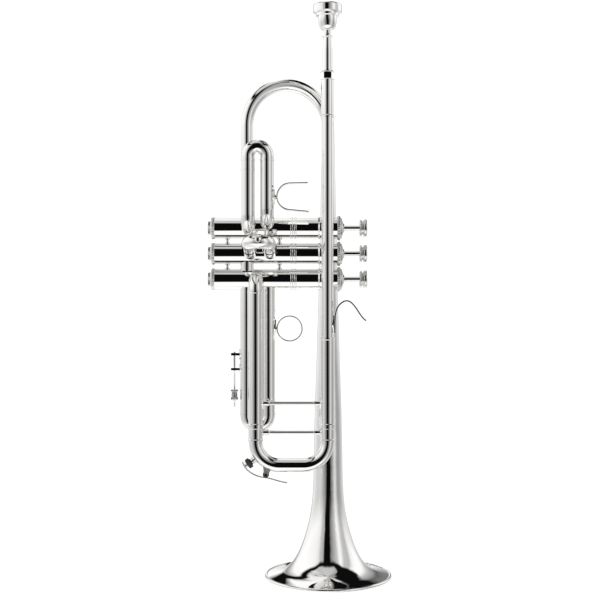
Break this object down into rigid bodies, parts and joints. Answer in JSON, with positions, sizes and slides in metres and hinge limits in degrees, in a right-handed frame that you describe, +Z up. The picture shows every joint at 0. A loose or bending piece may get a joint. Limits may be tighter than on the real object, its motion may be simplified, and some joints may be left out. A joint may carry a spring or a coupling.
{
  "type": "trumpet",
  "caption": "Piston-valve trumpet standing on its bell, with pull-out slides, mouthpiece, water key, thumb saddle, finger ring and little-finger hook.",
  "frame": {"origin": "centre of the bell mouth, in the plane that the rim stands on", "axes": "+Z up the bell towards the mouthpiece, +X towards the finger buttons, -Y towards the leadpipe side"},
  "size_m": [0.1754, 0.1479, 0.5421],
  "materials": {
    "silver_plate": "polished silver plate",
    "nickel_alloy": "ground, oiled",
    "pearl": "mother-of-pearl",
    "felt": "pressed felt",
    "cork": "cut cork",
    "spring_steel": "drawn wire",
    "guide_plastic": "moulded nylon"
  },
  "bodies": {
    "horn": {"bell": "silver_plate", "rim_wire": "spring_steel", "leadpipe": "silver_plate", "mouthpiece_receiver": "silver_plate", "upper_slide_tube": "silver_plate", "lower_slide_tube": "silver_plate", "valve_casing_1": "silver_plate", "valve_casing_2": "silver_plate", "valve_casing_3": "silver_plate", "top_caps": "silver_plate", "cap_felts": "felt", "bottom_caps": "silver_plate", "valve_guides": "guide_plastic", "cross_tubes": "silver_plate", "casing_posts": "silver_plate", "casing_elbows": "silver_plate", "fixed_braces": "silver_plate", "finger_hook": "silver_plate", "first_slide_tubes": "silver_plate", "second_slide_tubes": "silver_plate", "third_slide_tubes": "silver_plate", "stop_bracket": "silver_plate", "stop_rod": "silver_plate", "stop_nuts": "silver_plate"},
    "mouthpiece": {"mouthpiece": "silver_plate"},
    "main_slide": {"main_slide_legs": "silver_plate", "main_slide_ferrules": "silver_plate", "main_slide_crook": "silver_plate", "main_slide_brace": "silver_plate", "water_nipple": "silver_plate", "water_key_seat": "silver_plate", "water_key_screw": "silver_plate", "water_key_spring": "spring_steel"},
    "water_key": {"water_key_lever": "silver_plate", "water_key_cork": "cork"},
    "first_slide": {"first_slide_legs": "silver_plate", "first_slide_bow": "silver_plate", "thumb_saddle": "silver_plate"},
    "second_slide": {"second_slide_legs": "silver_plate", "second_slide_bow": "silver_plate", "second_slide_knob": "silver_plate"},
    "third_slide": {"third_slide_legs": "silver_plate", "third_slide_bow": "silver_plate", "finger_ring": "silver_plate", "stop_lug": "silver_plate"},
    "valve_1": {"piston_1": "nickel_alloy", "stem_1": "silver_plate", "finger_button_1": "silver_plate", "pearl_1": "pearl", "valve_spring_1": "spring_steel"},
    "valve_2": {"piston_2": "nickel_alloy", "stem_2": "silver_plate", "finger_button_2": "silver_plate", "pearl_2": "pearl", "valve_spring_2": "spring_steel"},
    "valve_3": {"piston_3": "nickel_alloy", "stem_3": "silver_plate", "finger_button_3": "silver_plate", "pearl_3": "pearl", "valve_spring_3": "spring_steel"}
  },
  "joints": [
    {"name": "mouthpiece_pull", "type": "slide", "parent": "horn", "child": "mouthpiece", "axis": [0, 0, 1], "range_m": [0, 0.026]},
    {"name": "main_slide_pull", "type": "slide", "parent": "horn", "child": "main_slide", "axis": [0, 0, -1], "range_m": [0, 0.045]},
    {"name": "water_key_tip", "type": "hinge", "parent": "main_slide", "child": "water_key", "pos_m": [-0.0589, -0.038, 0.1043], "axis": [0, -1, 0], "range_deg": [0, 16], "stiffness_Nm_per_rad": 0.03, "springref_deg": -34.38},
    {"name": "first_slide_pull", "type": "slide", "parent": "horn", "child": "first_slide", "axis": [0, 0, 1], "range_m": [0, 0.022]},
    {"name": "second_slide_pull", "type": "slide", "parent": "horn", "child": "second_slide", "axis": [0, -0.9877, 0.1564], "range_m": [0, 0.013]},
    {"name": "third_slide_pull", "type": "slide", "parent": "horn", "child": "third_slide", "axis": [0, 0, -1], "range_m": [0, 0.018]},
    {"name": "valve_1_press", "type": "slide", "parent": "horn", "child": "valve_1", "axis": [-1, 0, 0], "range_m": [0, 0.014], "stiffness_N_per_m": 110, "springref_m": -0.02, "deforming": ["valve_spring_1"]},
    {"name": "valve_2_press", "type": "slide", "parent": "horn", "child": "valve_2", "axis": [-1, 0, 0], "range_m": [0, 0.014], "stiffness_N_per_m": 110, "springref_m": -0.02, "deforming": ["valve_spring_2"]},
    {"name": "valve_3_press", "type": "slide", "parent": "horn", "child": "valve_3", "axis": [-1, 0, 0], "range_m": [0, 0.014], "stiffness_N_per_m": 110, "springref_m": -0.02, "deforming": ["valve_spring_3"]}
  ]
}
